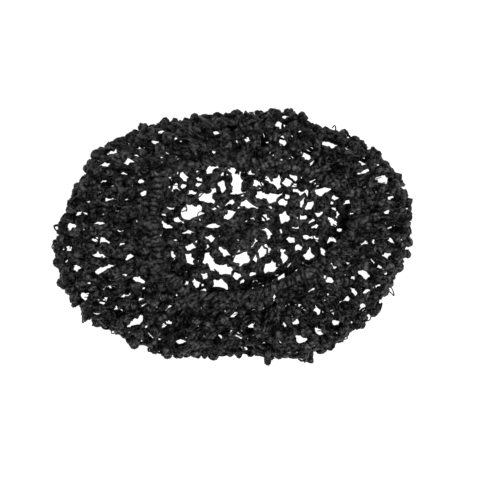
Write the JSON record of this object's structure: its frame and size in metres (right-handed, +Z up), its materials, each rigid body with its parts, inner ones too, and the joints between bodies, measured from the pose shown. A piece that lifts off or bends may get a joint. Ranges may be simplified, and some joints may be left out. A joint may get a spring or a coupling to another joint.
{
  "type": "crochet hair snood",
  "caption": "Openwork crochet hair snood: a soft, hollow, oval net pouch with a ribbed band gathered round its mouth.",
  "frame": {"origin": "on the surface it lies on, under the middle of the pouch", "axes": "+X along the pouch's length, +Z up out of the mouth"},
  "size_m": [0.1974, 0.1376, 0.0373],
  "materials": {
    "net_yarn": "soft black tape yarn with a faint lustre",
    "band_yarn": "tight black stitches over an elastic cord"
  },
  "bodies": {
    "root": {"crown_centre": "net_yarn", "crown_net": "net_yarn", "side_net": "net_yarn", "rim_net": "net_yarn", "rim_band": "band_yarn"}
  },
  "joints": []
}
